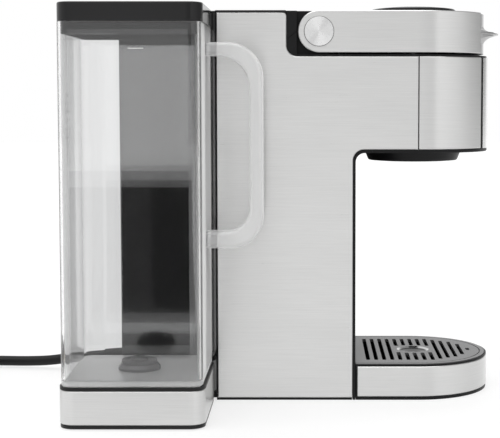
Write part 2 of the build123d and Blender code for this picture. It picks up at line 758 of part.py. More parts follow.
LID_SHELL_INSET = SHEET + 0.1
LID_SHELL_TOP_Z = LID_TOP_Z - 0.2
LID_CEILING_Z = LID_TOP_Z - 3.2
LID_HOLLOW_INSET = 6.7

with BuildPart() as lid_shell:
    extrude(
        nose_plan(LID_BOTTOM_Z + 0.6, LID_SHELL_INSET, LID_REAR_Y),
        amount=LID_SHELL_TOP_Z - LID_BOTTOM_Z - 0.6,
    )
    for arm_x in (LEFT_X + LID_SHELL_INSET, RIGHT_X - LID_SHELL_INSET - ARM_W):
        extrude(
            box_plan(LID_BOTTOM_Z, arm_x, arm_x + ARM_W, LID_REAR_Y - 4, PIVOT_Y + LID_R),
            amount=2 * LID_R,
        )
    extrude(lid_side(LEFT_X - 1, 0.3), amount=2 * HALF_W + 2, mode=Mode.INTERSECT)
    # the hollow underside, and the seat of the strip at the front
    extrude(
        nose_plan(LID_BOTTOM_Z - 1, LID_HOLLOW_INSET, LID_REAR_Y - WALL),
        amount=LID_CEILING_Z - LID_BOTTOM_Z + 1,
        mode=Mode.SUBTRACT,
    )
    extrude(
        nose_sector(
            LID_BOTTOM_Z - 1, HALF_W + 5, TRIM_R - SHEET - 0.1, 270 - BAND_END_ANGLE, 2 * BAND_END_ANGLE
        ),
        amount=2 * LID_R + 2,
        mode=Mode.SUBTRACT,
    )
    with BuildSketch(Plane.YZ.offset(LEFT_X - 1)):
        with Locations((PIVOT_Y, PIVOT_Z)):
            Circle(PIN_R + 0.05)
    extrude(amount=2 * HALF_W + 2, mode=Mode.SUBTRACT)
write(lid_shell, "lid_shell")

CAP_PROUD = 0.8
PIN_LENGTH = LID_SHELL_INSET + ARM_W + 0.8 + PIN_DEPTH - 1.0

with BuildPart() as pivot_pins:
    for face_x, inward in ((LEFT_X, 1), (RIGHT_X, -1)):
        with BuildSketch(Plane.YZ.offset(face_x - inward * CAP_PROUD)):
            with Locations((PIVOT_Y, PIVOT_Z)):
                Circle(CAP_R)
        extrude(amount=inward * (CAP_PROUD + SHEET))
        with BuildSketch(Plane.YZ.offset(face_x)):
            with Locations((PIVOT_Y, PIVOT_Z)):
                Circle(PIN_R)
        extrude(amount=inward * PIN_LENGTH)
write(pivot_pins, "pivot_pins")

with BuildPart() as lid_front_trim:
    trim_angle = BAND_END_ANGLE - 0.3
    extrude(
        nose_sector(LID_BOTTOM_Z + 0.2, TRIM_R, TRIM_R - SHEET, 270 - trim_angle, 2 * trim_angle),
        amount=2 * LID_R - 0.6,
    )
write(lid_front_trim, "lid_front_trim")

LIP_R = 36.0
LIP_Y = LIP_TIP_Y + LIP_R
LIP_Z = 289.0
lip_over = [(0.5, 0.6), (3.9, 1.1), (8.3, 1.5), (13.5, 1.8)]  # in from the tip, up
lip_under = [(13.5, 2.2), (8.3, 1.9), (3.9, 1.4), (0.5, 0.7)]  # in from the tip, down
flare_over = [(8.6, 1.2), (3.3, 2.3), (1.0, 4.0), (0, 5.8)]  # out from the strip, up
flare_under = [(0, 7.8), (2.0, 4.8), (4.7, 3.0), (8.6, 1.6)]  # out from the strip, down
LIP_END_ANGLE = BAND_END_ANGLE - 0.4


def lip_profile_plane(y):
    """Upright plane through the nose's middle, its x axis running forwards from y."""
    return Plane((MID_X, y, 0), x_dir=(0, -1, 0), z_dir=(-1, 0, 0))


with BuildPart() as lid_lip:
    # the flare with which the lip grows out of the strip
    with BuildSketch(lip_profile_plane(NOSE_Y)):
        with BuildLine():
            over = Spline(*[(TRIM_R + out, LIP_Z + rise) for out, rise in flare_over])
            under = Spline(*[(TRIM_R + out, LIP_Z - drop) for out, drop in flare_under])
            Line(over @ 1, under @ 0)
            Line(under @ 1, over @ 0)
        make_face()
    revolve(axis=vertical_axis(MID_X, NOSE_Y))
    with Locations((MID_X, LIP_Y, LIP_Z - 15)):
        Cylinder(LIP_R - 1, 30, align=BOTTOM, mode=Mode.INTERSECT)
    # the lip itself
    with BuildSketch(lip_profile_plane(LIP_Y)):
        with BuildLine():
            over = Spline(*[(LIP_R - reach, LIP_Z + rise) for reach, rise in lip_over])
            under = Spline(*[(LIP_R - reach, LIP_Z - drop) for reach, drop in lip_under])
            ThreePointArc(under @ 1, (LIP_R, LIP_Z), over @ 0)
            Line(over @ 1, under @ 0)
        make_face()
    revolve(axis=vertical_axis(MID_X, LIP_Y))
    with Locations((MID_X, NOSE_Y, LID_BOTTOM_Z - 5)):
        Cylinder(TRIM_R, 50, align=BOTTOM, mode=Mode.SUBTRACT)
    extrude(
        nose_sector(LIP_Z - 15, HALF_W + 20, TRIM_R - 5, 270 - LIP_END_ANGLE, 2 * LIP_END_ANGLE),
        amount=30,
        mode=Mode.INTERSECT,
    )
write(lid_lip, "lid_lip")

DISC_EDGE_Z = 309.3
BREW_R = 9.0
SMALL_R = 4.6
SMALL_CIRCLE_R = 20.0
WELL_Z = LID_TOP_Z + 0.8
BUTTON_GAP = 0.35
BUTTON_BOTTOM_Z = WELL_Z + 1.4
small_spots = [("power", 45), ("small", 135), ("medium", 225), ("large", 315)]

with BuildPart() as control_disc:
    with BuildSketch(Plane((MID_X, NOSE_Y, 0), x_dir=(1, 0, 0), z_dir=(0, -1, 0))):
        with BuildLine():
            Polyline(
                (0, DISC_TOP_Z),
                (0, LID_SHELL_TOP_Z),
                (DISC_R, LID_SHELL_TOP_Z),
                (DISC_R, DISC_EDGE_Z - 0.7),
                (DISC_R - 0.7, DISC_EDGE_Z),
            )
            ThreePointArc((DISC_R - 0.7, DISC_EDGE_Z), (DISC_R * 0.5, DISC_TOP_Z - 0.5), (0, DISC_TOP_Z))
        make_face()
    revolve(axis=vertical_axis(MID_X, NOSE_Y))
    with Locations((MID_X, NOSE_Y, WELL_Z)):
        Cylinder(BREW_R + BUTTON_GAP, 12, align=BOTTOM, mode=Mode.SUBTRACT)
        with PolarLocations(SMALL_CIRCLE_R, 4, start_angle=45):
            Cylinder(SMALL_R + BUTTON_GAP, 12, align=BOTTOM, mode=Mode.SUBTRACT)
write(control_disc, "control_disc")

with BuildPart() as brew_button:
    with Locations((MID_X, NOSE_Y, BUTTON_BOTTOM_Z)):
        Cylinder(BREW_R, DISC_TOP_Z - 0.3 - BUTTON_BOTTOM_Z, align=BOTTOM)
    chamfer(brew_button.faces().sort_by(Axis.Z)[-1].edges(), 0.4)
write(brew_button, "brew_button")

for button_name, button_angle in small_spots:
    with BuildPart() as small_button:
        with Locations((MID_X, NOSE_Y, BUTTON_BOTTOM_Z)):
            with PolarLocations(SMALL_CIRCLE_R, 1, start_angle=button_angle):
                Cylinder(SMALL_R, DISC_TOP_Z - 1.2 - BUTTON_BOTTOM_Z, align=BOTTOM)
        chamfer(small_button.faces().sort_by(Axis.Z)[-1].edges(), 0.4)
    write(small_button, f"{button_name}_button")

NEEDLE_HOUSING_R = 29.0
with BuildPart() as needle_housing:
    with Locations((MID_X, NOSE_Y, LID_BOTTOM_Z + 4.4)):
        Cylinder(NEEDLE_HOUSING_R, LID_CEILING_Z - LID_BOTTOM_Z - 4.5, align=BOTTOM)
    with Locations((MID_X, NOSE_Y, LID_BOTTOM_Z + 4.4)):
        Cylinder(2.2, 14, align=BOTTOM, mode=Mode.SUBTRACT)
    with Locations((MID_X + 18, NOSE_Y + 18, LID_BOTTOM_Z + 20)):
        Cylinder(3.8, 8, align=BOTTOM, mode=Mode.SUBTRACT)
write(needle_housing, "needle_housing")

with BuildPart() as lid_gasket:
    revolve(
        ring_profile(
            [
                (2.3, LID_BOTTOM_Z + 4.3),
                (21.0, LID_BOTTOM_Z + 4.3),
                (21.0, LID_BOTTOM_Z + 2.2),
                (18.5, LID_BOTTOM_Z + 1.0),
                (6.0, LID_BOTTOM_Z + 1.6),
                (2.3, LID_BOTTOM_Z + 1.6),
            ],
            MID_X,
            NOSE_Y,
        ),
        axis=vertical_axis(MID_X, NOSE_Y),
    )
write(lid_gasket, "lid_gasket")

with BuildPart() as inlet_needle:
    revolve(
        ring_profile(
            [
                (0.8, LID_BOTTOM_Z + 16),
                (2.1, LID_BOTTOM_Z + 16),
                (2.1, LID_BOTTOM_Z - 4),
                (1.5, LID_BOTTOM_Z - 6),
                (0.8, LID_BOTTOM_Z - 11),
            ],
            MID_X,
            NOSE_Y,
        ),
        axis=vertical_axis(MID_X, NOSE_Y),
    )
write(inlet_needle, "inlet_needle")

# ------------------------------------------------------------------ drip tray

TRAY_FOOT_Z = 0.2
BASIN_FLOOR_Z = 5.6
GRILLE_THICK = 2.6
BASIN_BACK_Y = COVER_FACE_Y - 0.3
GRILLE_BACK_Y = BASIN_BACK_Y


def tray_plan(z, inset, back_y=TRAY_BACK_Y):
    """Plan of a layer of the tray."""
    return nose_plan(z, inset, back_y, TRAY_NOSE_Y)


with BuildPart() as tray_basin:
    extrude(tray_plan(TRAY_FOOT_Z, 0.5, BASIN_BACK_Y), amount=TRAY_SKIRT_Z - TRAY_FOOT_Z)
    extrude(
        tray_plan(TRAY_SKIRT_Z, SHEET + 0.05, BASIN_BACK_Y), amount=TRAY_BAND_TOP_Z - TRAY_SKIRT_Z + 0.5
    )
    extrude(
        tray_plan(TRAY_BAND_TOP_Z + 0.05, 0.3, BASIN_BACK_Y), amount=TRAY_RIM_Z - TRAY_BAND_TOP_Z - 0.05
    )
    # the basin and the ledge that the grille lies on
    extrude(tray_plan(BASIN_FLOOR_Z, 5.0, TRAY_BACK_Y - 4), amount=40, mode=Mode.SUBTRACT)
    extrude(
        tray_plan(GRILLE_TOP_Z - GRILLE_THICK - 0.2, 1.4, BASIN_BACK_Y + 1), amount=10, mode=Mode.SUBTRACT
    )
    # tongues that hold the tray in the column
    for tongue_x in TONGUE_SPOTS:
        extrude(
            box_plan(TONGUE_Z0, tongue_x - 5, tongue_x + 5, TRAY_BACK_Y - 1, COLUMN_FRONT_Y + 8),
            amount=TONGUE_Z1 - TONGUE_Z0,
        )
write(tray_basin, "tray_basin")

with BuildPart() as tray_band:
    extrude(
        nose_ring(TRAY_SKIRT_Z, 0, SHEET, TRAY_BACK_Y, TRAY_NOSE_Y), amount=TRAY_BAND_TOP_Z - TRAY_SKIRT_Z
    )
    chamfer(outline_edges(tray_band, TRAY_NOSE_Y), EDGE_BREAK)
write(tray_band, "tray_band")

SLOT_W = 3.2
SLOT_PITCH = 6.5
FIRST_SLOT_Y = -59.8
FULL = 44.5
# from and to, out from the middle, for each row of slots from the column to the nose
slot_rows = [(0, FULL)] * 4 + [(13.5, FULL)] + [(15.5, FULL)] * 3 + [(13.5, FULL)]
slot_rows += [(0, 40.3), (0, 35.7), (0, 31.5), (0, 22.0)]
DISH_ROW = 6
DISH_R = 13.2
DISH_DEPTH = 3.0
GROOVE_INSET, GROOVE_W, GROOVE_DEPTH = 5.2, 0.9, 1.4
GRILLE_Z = GRILLE_TOP_Z - GRILLE_THICK
dish_y = FIRST_SLOT_Y - DISH_ROW * SLOT_PITCH

with BuildPart() as tray_grille:
    extrude(tray_plan(GRILLE_Z, 1.7, GRILLE_BACK_Y), amount=GRILLE_THICK)
    with Locations((MID_X, dish_y, GRILLE_Z - 1.8)):
        Cylinder(DISH_R + 0.6, 2, align=BOTTOM)
    # a fine groove sets the rim off from the slotted field
    extrude(
        nose_ring(GRILLE_TOP_Z - GROOVE_DEPTH, GROOVE_INSET, GROOVE_W, GRILLE_BACK_Y + 1, TRAY_NOSE_Y),
        amount=2,
        mode=Mode.SUBTRACT,
    )
    # slots across the plate: full ones, ones parted by the dish, then shorter ones to the nose
    with BuildSketch(Plane.XY.offset(GRILLE_TOP_Z)):
        for row, (slot_from, slot_to) in enumerate(slot_rows):
            slot_y = FIRST_SLOT_Y - SLOT_PITCH * row
            if slot_from:
                spots = [-(slot_from + slot_to) / 2, (slot_from + slot_to) / 2]
                length = slot_to - slot_from
            else:
                spots, length = [0], 2 * slot_to
            with Locations([(MID_X + spot, slot_y) for spot in spots]):
                SlotOverall(length, SLOT_W)
        with Locations((MID_X, FIRST_SLOT_Y - SLOT_PITCH * len(slot_rows))):
            SlotOverall(9.0, SLOT_W)
    extrude(amount=-10, mode=Mode.SUBTRACT)
    # the dish in the middle
    revolve(
        ring_profile(
            [
                (0, GRILLE_TOP_Z + 1),
                (0, GRILLE_TOP_Z - DISH_DEPTH),
                (6.0, GRILLE_TOP_Z - DISH_DEPTH + 0.2),
                (10.5, GRILLE_TOP_Z - DISH_DEPTH + 1.1),
                (DISH_R, GRILLE_TOP_Z),
                (DISH_R, GRILLE_TOP_Z + 1),
            ],
            MID_X,
            dish_y,
        ),
        axis=vertical_axis(MID_X, dish_y),
        mode=Mode.SUBTRACT,
    )
write(tray_grille, "tray_grille")

# ------------------------------------------------------------------ reservoir base

NOTCH_TOP_Z = FLOOR_TOP_Z + 0.9
NOTCH = box_plan(-1, POST_X - 9.5, RES_X1 + 2, POST_Y - 22, RES_Y1 + 2)
BASE_CAVITY_Z = 25.4
SOCKET_R = 14.5

with BuildPart() as reservoir_base:
    extrude(reservoir_plan(0.8, 0.4, 0.4, RES_CORNER - 0.4), amount=RES_SKIRT_Z - 0.8)
    extrude(
        reservoir_plan(RES_SKIRT_Z, SHEET + 0.05, SHEET + 0.05, RES_CORNER - SHEET),
        amount=RES_BAND_TOP_Z - RES_SKIRT_Z + 0.5,
    )
    extrude(
        reservoir_plan(RES_BAND_TOP_Z + 0.05, 0.1, 0.1, RES_CORNER),
        amount=RES_DECK_Z - RES_BAND_TOP_Z - 0.15,
    )
    extrude(reservoir_plan(0, 3.6, 3.6, RES_CORNER - 3.6), amount=BASE_CAVITY_Z, mode=Mode.SUBTRACT)
    with Locations((POST_X, POST_Y, NOTCH_TOP_Z + 0.6)):
        Cylinder(5.8, BASE_CAVITY_Z - NOTCH_TOP_Z, align=BOTTOM)
    extrude(NOTCH, amount=NOTCH_TOP_Z + 1, mode=Mode.SUBTRACT)
    with Locations((POST_X, POST_Y, 0)):
        Cylinder(3.06, 24.6, align=BOTTOM, mode=Mode.SUBTRACT)
    with Locations((VALVE_X, VALVE_Y, 10)):
        Cylinder(SOCKET_R + 0.1, 40, align=BOTTOM, mode=Mode.SUBTRACT)
write(reservoir_base, "reservoir_base")

with BuildPart() as reservoir_base_band:
    with BuildSketch(Plane.XY.offset(RES_SKIRT_Z)):
        add(reservoir_plan(0, 0, 0, RES_CORNER))
        add(reservoir_plan(0, SHEET, SHEET, RES_CORNER - SHEET), mode=Mode.SUBTRACT)
    extrude(amount=RES_BAND_TOP_Z - RES_SKIRT_Z)
    chamfer(reservoir_base_band.faces().sort_by(Axis.Z)[-1].outer_wire().edges(), EDGE_BREAK)
    chamfer(reservoir_base_band.faces().sort_by(Axis.Z)[0].outer_wire().edges(), EDGE_BREAK)
    extrude(NOTCH, amount=NOTCH_TOP_Z + 1, mode=Mode.SUBTRACT)
write(reservoir_base_band, "reservoir_base_band")

BASE_FOOT_R = 5.0
base_foot_spots = [
    (RES_X0 + 14, RES_Y0 + 14),
    (RES_X0 + 14, RES_Y1 - 14),
    (RES_X1 - 14, RES_Y0 + 14),
    (RES_X1 - 38, RES_Y1 - 14),
]

with BuildPart() as reservoir_bottom:
    extrude(reservoir_plan(0.9, 3.8, 3.8, RES_CORNER - 3.8), amount=2.4)
    extrude(NOTCH, amount=NOTCH_TOP_Z + 1, mode=Mode.SUBTRACT)
    with Locations([(x, y, 0) for x, y in base_foot_spots]):
        Cylinder(BASE_FOOT_R + 0.1, 1.9, align=BOTTOM, mode=Mode.SUBTRACT)
write(reservoir_bottom, "reservoir_bottom")

with BuildPart() as reservoir_feet:
    with Locations([(x, y, 0) for x, y in base_foot_spots]):
        Cylinder(BASE_FOOT_R, 1.9, align=BOTTOM)
write(reservoir_feet, "reservoir_feet")

with BuildPart() as inlet_socket:
    revolve(
        ring_profile(
            [
                (1.2, 16.0),
                (4.0, 16.0),
                (4.0, 18.0),
                (SOCKET_R, 18.0),
                (SOCKET_R, BASE_CAVITY_Z - 3),
                (SOCKET_R + 3, BASE_CAVITY_Z - 3),
                (SOCKET_R + 3, BASE_CAVITY_Z - 0.1),
                (SOCKET_R, BASE_CAVITY_Z - 0.1),
                (SOCKET_R, RES_DECK_Z - 0.4),
                (12.4, RES_DECK_Z - 0.4),
                (12.4, 20.0),
                (2.4, 20.0),
                (2.4, 23.6),
                (1.2, 23.6),
            ],
            VALVE_X,
            VALVE_Y,
        ),
        axis=vertical_axis(VALVE_X, VALVE_Y),
    )
write(inlet_socket, "inlet_socket")

# ------------------------------------------------------------------ water tank

TANK_BOTTOM_Z = RES_DECK_Z
TANK_CORNER = 8.8
BODY_R = 11.7

with BuildPart() as tank:
    extrude(
        reservoir_plan(TANK_BOTTOM_Z, TANK_INSET_X, TANK_INSET_Y, TANK_CORNER),
        amount=TANK_TOP_Z - TANK_BOTTOM_Z,
    )
    fillet(tank.faces().sort_by(Axis.Z)[0].edges(), 1.6)
    extrude(
        reservoir_plan(
            TANK_FLOOR_Z, TANK_INSET_X + TANK_WALL, TANK_INSET_Y + TANK_WALL, TANK_CORNER - TANK_WALL
        ),
        amount=TANK_TOP_Z,
        mode=Mode.SUBTRACT,
    )
    with Locations((VALVE_X, VALVE_Y, TANK_BOTTOM_Z - 1)):
        Cylinder(BODY_R + 0.1, 10, align=BOTTOM, mode=Mode.SUBTRACT)
write(tank, "tank")

HANDLE_W = 17.0
HANDLE_FACE_Y = RES_Y0 + TANK_INSET_Y
HANDLE_OUT_Y = 21.4
HANDLE_GRIP = 10.0
HANDLE_TOP_Z, HANDLE_UNDER_Z = 278.1, 268.2
HANDLE_OVER_Z, HANDLE_BOTTOM_Z = 138.6, 126.0

with BuildPart() as tank_handle:
    with BuildSketch(Plane.YZ.offset(RES_MID_X - HANDLE_W / 2)) as handle_side:
        with BuildLine():
            Polyline(
                (HANDLE_FACE_Y, HANDLE_TOP_Z),
                (HANDLE_OUT_Y, HANDLE_TOP_Z),
                (HANDLE_OUT_Y, HANDLE_BOTTOM_Z),
                (HANDLE_FACE_Y, HANDLE_BOTTOM_Z),
                (HANDLE_FACE_Y, HANDLE_OVER_Z),
                (HANDLE_OUT_Y + HANDLE_GRIP, HANDLE_OVER_Z),
                (HANDLE_OUT_Y + HANDLE_GRIP, HANDLE_UNDER_Z),
                (HANDLE_FACE_Y, HANDLE_UNDER_Z),
                close=True,
            )
        make_face()
        for corner_y, corner_z, corner_r in (
            (HANDLE_OUT_Y, HANDLE_TOP_Z, 26.0),
            (HANDLE_OUT_Y, HANDLE_BOTTOM_Z, 23.0),
            (HANDLE_OUT_Y + HANDLE_GRIP, HANDLE_UNDER_Z, 24.0),
            (HANDLE_OUT_Y + HANDLE_GRIP, HANDLE_OVER_Z, 18.0),
        ):
            fillet(handle_side.vertices().sort_by_distance((corner_y, corner_z))[0], corner_r)
    extrude(amount=HANDLE_W)
    side_faces = tank_handle.faces().filter_by(Axis.X)
    fillet(side_faces.edges().filter_by(lambda e: e.center().Y < HANDLE_FACE_Y - 0.5), 3.4)
write(tank_handle, "tank_handle")

with BuildPart() as tank_valve:
    revolve(
        ring_profile(
            [
                (4.6, 25.0),
                (BODY_R, 25.0),
                (BODY_R, TANK_FLOOR_Z + 0.05),
                (15.7, TANK_FLOOR_Z + 0.05),
                (15.7, TANK_FLOOR_Z + 2.0),
                (13.8, TANK_FLOOR_Z + 4.4),
                (8.6, TANK_FLOOR_Z + 4.4),
                (8.6, 31.0),
                (4.6, 29.0),
            ],
            VALVE_X,
            VALVE_Y,
        ),
        axis=vertical_axis(VALVE_X, VALVE_Y),
    )
write(tank_valve, "tank_valve")

with BuildPart() as tank_filter:
    with Locations((VALVE_X, VALVE_Y, TANK_FLOOR_Z + 4.5)):
        Cylinder(13.2, 2.4, align=BOTTOM)
        Cylinder(6.5, 4.4, align=BOTTOM)
        Cylinder(8.4, 1.2, align=BOTTOM)
    with BuildSketch(Plane.XY.offset(TANK_FLOOR_Z + 4)):
        with Locations((VALVE_X, VALVE_Y)):
            with PolarLocations(10.2, 16):
                SlotOverall(4.0, 1.3)
    extrude(amount=8, mode=Mode.SUBTRACT)
    fillet(tank_filter.faces().sort_by(Axis.Z)[-1].edges(), 1.0)
write(tank_filter, "tank_filter")

with BuildPart() as valve_poppet:
    revolve(
        ring_profile(
            [(0, 23.8), (3.2, 23.8), (3.2, 31.6), (6.4, 33.2), (6.4, 34.6), (0, 34.6)],
            VALVE_X,
            VALVE_Y,
        ),
        axis=vertical_axis(VALVE_X, VALVE_Y),
    )
write(valve_poppet, "valve_poppet")

LID_Y0, LID_Y1 = RES_Y0 + 0.5, RES_Y1 - 1.5
LID_SKIRT_GAP = 0.4
LID_SKIRT_WALL = 2.2

with BuildPart() as tank_lid:
    extrude(
        box_plan(TANK_TOP_Z + 0.2, RES_X0, RES_X1, LID_Y0, LID_Y1, RES_CORNER),
        amount=TANK_LID_TOP_Z - TANK_TOP_Z - 0.2,
    )
    fillet(tank_lid.faces().sort_by(Axis.Z)[-1].edges(), 1.2)
    skirt_x = TANK_INSET_X + TANK_WALL + LID_SKIRT_GAP
    skirt_y = TANK_INSET_Y + TANK_WALL + LID_SKIRT_GAP
    skirt_corner = TANK_CORNER - TANK_WALL - LID_SKIRT_GAP
    extrude(
        reservoir_plan(TANK_LID_SKIRT_Z, skirt_x, skirt_y, skirt_corner),
        amount=TANK_TOP_Z - TANK_LID_SKIRT_Z + 1,
    )
    extrude(
        reservoir_plan(
            TANK_LID_SKIRT_Z,
            skirt_x + LID_SKIRT_WALL,
            skirt_y + LID_SKIRT_WALL,
            skirt_corner - LID_SKIRT_WALL,
        ),
        amount=TANK_LID_TOP_Z - 2.6 - TANK_LID_SKIRT_Z,
        mode=Mode.SUBTRACT,
    )
write(tank_lid, "tank_lid")

# ------------------------------------------------------------------ power cord

CORD_R = 4.35
GLAND_END_Y = BODY_REAR_Y + 30
COIL_X, COIL_Y = 62.0, 313.0
COIL_R = 48.0
COIL_W, COIL_H = 18.0, 17.6
COIL_Z = 1.2
PLUG_Z = 11.4
PLUG_X = 30.0  # where the plug's boot starts; the plug lies along -X from here

with BuildPart() as cord_gland:
    with BuildSketch(Plane.XZ.offset(-(BODY_REAR_Y - 4.5))):
        with Locations((CORD_X, CORD_Z)):
            Circle(6.5)
    extrude(amount=-4.6)
    with BuildSketch(Plane.XZ.offset(-BODY_REAR_Y)):
        with Locations((CORD_X, CORD_Z)):
            Circle(9.0)
    extrude(amount=-2.6)
    with BuildSketch(Plane.XZ.offset(-(BODY_REAR_Y + 2.5))):
        with Locations((CORD_X, CORD_Z)):
            Circle(7.4)
    with BuildSketch(Plane.XZ.offset(-GLAND_END_Y)):
        with Locations((CORD_X, CORD_Z)):
            Circle(5.3)
    loft()
write(cord_gland, "cord_gland")

cord_route = [
    (CORD_X, GLAND_END_Y, CORD_Z),
    (96.8, 190.0, 12.4),
    (101.0, 213.0, 7.8),
    (106.2, 237.0, 6.1),
    (109.4, 262.0, 5.9),
    (110.0, 285.0, 5.9),
]
vectors = [Vector(*p) for p in cord_route]
runs = [b - a for a, b in zip(vectors, vectors[1:])]
radii = [
    0.45 * min(a.length, b.length) / Vector(a).normalized().cross(Vector(b).normalized()).length
    * (1 + Vector(a).normalized().dot(Vector(b).normalized()))
    for a, b in zip(runs, runs[1:])
]
with BuildPart() as power_cord:
    with BuildLine() as cord_line:
        FilletPolyline(*cord_route, radius=radii)
    with BuildSketch(Plane(origin=cord_line.wire() @ 0, z_dir=cord_line.wire() % 0)):
        Circle(CORD_R)
    sweep(path=cord_line.wire())
write(power_cord, "power_cord")
print("cord radii", [round(r) for r in radii])
print("cord volume ratio", power_cord.part.volume / (pi * CORD_R**2 * cord_line.wire().length))

with BuildPart() as cord_coil:
    with BuildSketch(Plane.XY.offset(COIL_Z)):
        with Locations((COIL_X, COIL_Y)):
            Circle(COIL_R + COIL_W / 2)
            Circle(COIL_R - COIL_W / 2, mode=Mode.SUBTRACT)
    extrude(amount=COIL_H)
    fillet(cord_coil.edges().filter_by(GeomType.CIRCLE), 4.0)
write(cord_coil, "cord_coil")

TIE_ANGLE = 200.0
TIE_W = 9.0
TIE_THICK = 1.1
with BuildPart() as cord_tie:
    across = Plane(origin=(COIL_X, COIL_Y, 0)).rotated((0, 0, TIE_ANGLE))
    with BuildSketch(Plane(across.origin, across.x_dir, -across.y_dir).offset(-TIE_W / 2)):
        with Locations((COIL_R, COIL_Z + COIL_H / 2)):
            Rectangle(COIL_W + 2 * TIE_THICK + 0.3, COIL_H + 2 * TIE_THICK)
    extrude(amount=TIE_W)
    add(cord_coil.part, mode=Mode.SUBTRACT)
write(cord_tie, "cord_tie")

PLUG_BODY_L = 34.0
BOOT_L = 24.0
with BuildPart() as power_plug:
    with BuildSketch(Plane.YZ.offset(PLUG_X)):
        with Locations((COIL_Y + COIL_R, PLUG_Z)):
            Circle(5.2)
    with BuildSketch(Plane.YZ.offset(PLUG_X - BOOT_L)):
        with Locations((COIL_Y + COIL_R, PLUG_Z)):
            Circle(7.6)
    loft()
    with BuildSketch(Plane.YZ.offset(PLUG_X - BOOT_L + 0.5)):
        with Locations((COIL_Y + COIL_R, PLUG_Z)):
            RectangleRounded(28, 20, 6)
    extrude(amount=-PLUG_BODY_L)
    fillet(power_plug.faces().sort_by(Axis.X)[0].edges(), 2.0)
write(power_plug, "power_plug")

blade_x = PLUG_X - BOOT_L + 0.5 - PLUG_BODY_L
with BuildPart() as plug_blades:
    for blade_y, blade_h in ((-6.35, 7.9), (6.35, 6.3)):
        with Locations((blade_x, COIL_Y + COIL_R + blade_y, PLUG_Z)):
            Box(16.5, 1.5, blade_h, align=(Align.MAX, Align.CENTER, Align.CENTER))
    chamfer(plug_blades.faces().group_by(Axis.X)[0].edges(), 0.5)
write(plug_blades, "plug_blades")
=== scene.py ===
"""Pod coffee machine: the looks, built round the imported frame. Metres, row frame."""

import json
import math

import bpy
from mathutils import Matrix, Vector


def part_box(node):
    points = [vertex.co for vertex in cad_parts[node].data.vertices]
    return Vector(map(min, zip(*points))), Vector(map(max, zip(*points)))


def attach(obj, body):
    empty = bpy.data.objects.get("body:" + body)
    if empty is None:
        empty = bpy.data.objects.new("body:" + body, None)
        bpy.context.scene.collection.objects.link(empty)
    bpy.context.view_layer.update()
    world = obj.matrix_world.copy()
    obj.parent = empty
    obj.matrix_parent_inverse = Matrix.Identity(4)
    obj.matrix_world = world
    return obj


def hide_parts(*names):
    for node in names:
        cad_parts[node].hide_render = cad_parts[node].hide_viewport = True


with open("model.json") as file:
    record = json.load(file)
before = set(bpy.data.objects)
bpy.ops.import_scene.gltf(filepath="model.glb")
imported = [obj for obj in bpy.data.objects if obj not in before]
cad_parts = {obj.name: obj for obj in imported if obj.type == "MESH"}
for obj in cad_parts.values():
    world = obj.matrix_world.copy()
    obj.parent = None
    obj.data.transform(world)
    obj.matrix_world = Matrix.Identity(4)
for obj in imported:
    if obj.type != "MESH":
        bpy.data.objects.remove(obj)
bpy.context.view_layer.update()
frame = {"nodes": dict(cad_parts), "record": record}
scene = bpy.context.scene
scene.view_settings.view_transform = "Standard"

NOSE_X = 0.0458  # middle plane of the body
DISH_Y, DISH_R = -0.0988, 0.0132  # the dish in the tray's grille
TANK_FLOOR_Z = 0.0354  # the tank's floor inside
RIM_W = 0.0035  # the black rim round the reservoir base's grey deck
WALL_X = -0.0072  # the housing's wall beside the tank
EDGE_R = 0.0004  # edges look rounded by this much

# ------------------------------------------------------------------ camera

CAMERA_PLACE = (-1.0002, -0.01495, 0.23506)
CAMERA_DIP = 0.0693  # radians below level

camera_data = bpy.data.cameras.new("camera")
camera_data.sensor_width = 36.0
camera_data.lens = 91.33
camera_data.shift_x = -0.1242
camera_data.shift_y = -0.06
camera_data.clip_start = 0.05
camera_data.clip_end = 60.0
camera = bpy.data.objects.new("camera", camera_data)
camera.location = CAMERA_PLACE
camera.rotation_euler = (math.pi / 2 - CAMERA_DIP, 0.0, -math.pi / 2)
scene.collection.objects.link(camera)
scene.camera = camera

# ------------------------------------------------------------------ power cord

CORD_D = 0.0087
COIL_X, COIL_Y = 0.062, 0.313
COIL_START = math.radians(-5)
COIL_TURNS = 3.264
POINTS_PER_TURN = 14
LOW, HIGH = 0.0056, 0.0142  # the coil's two layers
OUTER, INNER = 0.0522, 0.0438  # radii of the turns that lie side by side


def eased(value, start, end):
    """0 before start and 1 after end, with a smooth change between."""
    t = min(1.0, max(0.0, (value - start) / (end - start)))
    return t * t * (3 - 2 * t)


route = [
    (0.0960, 0.1640, 0.0140),
    (0.0968, 0.1900, 0.0124),
    (0.1010, 0.2130, 0.0078),
    (0.1062, 0.2370, 0.0061),
    (0.1094, 0.2620, 0.0059),
    (0.1108, 0.2850, 0.0056),
]
for step in range(int(COIL_TURNS * POINTS_PER_TURN) + 1):
    turn = step / POINTS_PER_TURN
    angle = COIL_START + 2 * math.pi * turn
    radius = OUTER + (INNER - OUTER) * (eased(turn, 0.8, 1.1) - eased(turn, 2.8, 3.1))
    height = LOW + (HIGH - LOW) * eased(turn, 1.75, 2.05)
    route.append((COIL_X + radius * math.cos(angle), COIL_Y + radius * math.sin(angle), height))
route += [(0.0520, 0.3640, 0.0136), (0.0400, 0.3618, 0.0122), (0.0290, 0.3610, 0.0114)]

